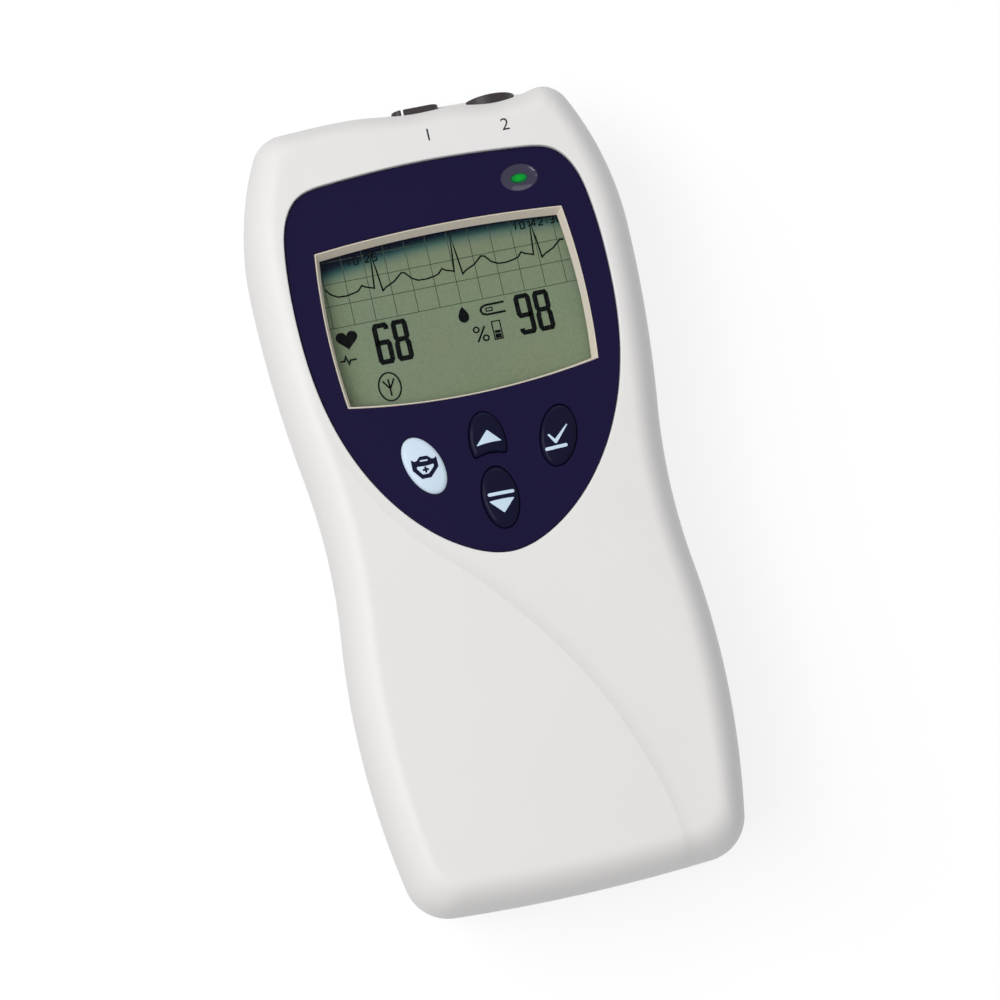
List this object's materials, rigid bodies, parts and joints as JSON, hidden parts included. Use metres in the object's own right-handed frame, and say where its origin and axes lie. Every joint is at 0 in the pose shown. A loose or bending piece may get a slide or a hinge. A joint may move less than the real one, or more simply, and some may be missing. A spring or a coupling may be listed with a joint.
{
  "type": "portable patient monitor",
  "caption": "Hand-sized waisted monitor with a front display, oval keys, a status light, plug sockets in its head end and a sliding battery door in its back.",
  "frame": {"origin": "middle of the back's footprint, on the surface that the monitor lies on", "axes": "+X to the right of the display, +Y toward the socket end, +Z out of the display"},
  "size_m": [0.087, 0.1808, 0.0412],
  "materials": {
    "white_shell": "fine satin moulded",
    "panel_navy": "satin printed film on plastic",
    "clear_pane": "clear",
    "display_glass": "grey-green liquid crystal",
    "diffuser": "milky",
    "black_plastic": "matte",
    "socket_plastic": "dark, satin",
    "carrier_plastic": "dark grey, satin",
    "green_light": "translucent, lit",
    "diode": "clear",
    "key_navy": "satin silicone",
    "key_pale": "satin silicone",
    "dome_silicone": "translucent silicone",
    "circuit_board": "green lacquered laminate",
    "tinned_steel": "stamped",
    "flat_cable": "amber film",
    "contact_metal": "gold-plated or plain brass",
    "screw_steel": "plated",
    "seal_rubber": "soft, matt",
    "battery_wrap": "shrink sleeve"
  },
  "bodies": {
    "monitor": {"front_case": "white_shell", "rear_case": "white_shell", "front_panel": "panel_navy", "display_lens": "clear_pane", "lcd_glass": "display_glass", "backlight": "diffuser", "lcd_frame": "black_plastic", "main_plug": "black_plastic", "radio_plug": "black_plastic", "battery_connector": "black_plastic", "alarm_speaker": "black_plastic", "ecg_socket": "socket_plastic", "spo2_socket": "socket_plastic", "ecg_insert": "carrier_plastic", "spo2_insert": "carrier_plastic", "status_light": "green_light", "status_led": "diode", "nurse_call_dome": "dome_silicone", "up_dome": "dome_silicone", "down_dome": "dome_silicone", "select_dome": "dome_silicone", "main_board": "circuit_board", "radio_board": "circuit_board", "socket_board": "circuit_board", "processor_shield": "tinned_steel", "radio_shield": "tinned_steel", "antenna": "tinned_steel", "board_ribbon": "flat_cable", "ecg_contacts": "contact_metal", "spo2_contacts": "contact_metal", "battery_contacts": "contact_metal", "case_inserts": "contact_metal", "case_screws": "screw_steel", "board_screws": "screw_steel", "radio_screws": "screw_steel", "case_seal": "seal_rubber", "speaker_seal": "seal_rubber", "battery_pack": "battery_wrap"},
    "nurse_call_key": {"nurse_call_key": "key_pale"},
    "up_key": {"up_key": "key_navy"},
    "down_key": {"down_key": "key_navy"},
    "select_key": {"select_key": "key_navy"},
    "battery_door": {"battery_door": "white_shell"}
  },
  "joints": [
    {"name": "nurse_call_press", "type": "slide", "parent": "monitor", "child": "nurse_call_key", "axis": [0, 0, -1], "range_m": [0, 0.0007], "stiffness_N_per_m": 300, "springref_m": -0.0002, "deforming": ["nurse_call_dome"]},
    {"name": "up_press", "type": "slide", "parent": "monitor", "child": "up_key", "axis": [0, 0, -1], "range_m": [0, 0.0007], "stiffness_N_per_m": 300, "springref_m": -0.0002, "deforming": ["up_dome"]},
    {"name": "down_press", "type": "slide", "parent": "monitor", "child": "down_key", "axis": [0, 0, -1], "range_m": [0, 0.0007], "stiffness_N_per_m": 300, "springref_m": -0.0002, "deforming": ["down_dome"]},
    {"name": "select_press", "type": "slide", "parent": "monitor", "child": "select_key", "axis": [0, 0, -1], "range_m": [0, 0.0007], "stiffness_N_per_m": 300, "springref_m": -0.0002, "deforming": ["select_dome"]},
    {"name": "battery_door_slide", "type": "slide", "parent": "monitor", "child": "battery_door", "axis": [0, -1, 0], "range_m": [0, 0.066]}
  ]
}
